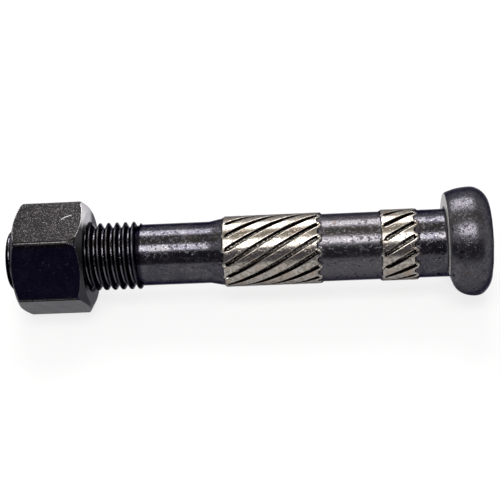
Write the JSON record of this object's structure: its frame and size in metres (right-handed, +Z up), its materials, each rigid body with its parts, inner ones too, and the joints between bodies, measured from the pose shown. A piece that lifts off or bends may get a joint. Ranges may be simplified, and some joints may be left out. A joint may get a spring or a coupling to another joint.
{
  "type": "connecting rod bolt",
  "caption": "Connecting rod bolt with a round head flattened on one side, helically ribbed bands on its shank, a thin waist and a threaded end that carries a hexagonal nut.",
  "frame": {"origin": "centre of the head's seating face, on the bolt's axis", "axes": "+X along the bolt's axis from the thread to the top of the head; +Z up with the bolt lying on its side and a flat of the nut facing the ground; -Y towards the viewer"},
  "size_m": [0.0838, 0.0202, 0.0192],
  "materials": {
    "bolt_steel": "forged and turned steel with an oiled black oxide coat",
    "nut_steel": "black oxide with a fine grainy surface",
    "bare_steel": "bare steel on the crests of the ribs, rubbed bright"
  },
  "bodies": {
    "bolt_body": {"bolt": "bolt_steel"},
    "nut_body": {"nut": "nut_steel"}
  },
  "joints": [
    {"name": "nut_travel", "type": "slide", "parent": "bolt_body", "child": "nut_body", "axis": [-1, 0, 0], "range_m": [-0.009, 0.015]}
  ]
}
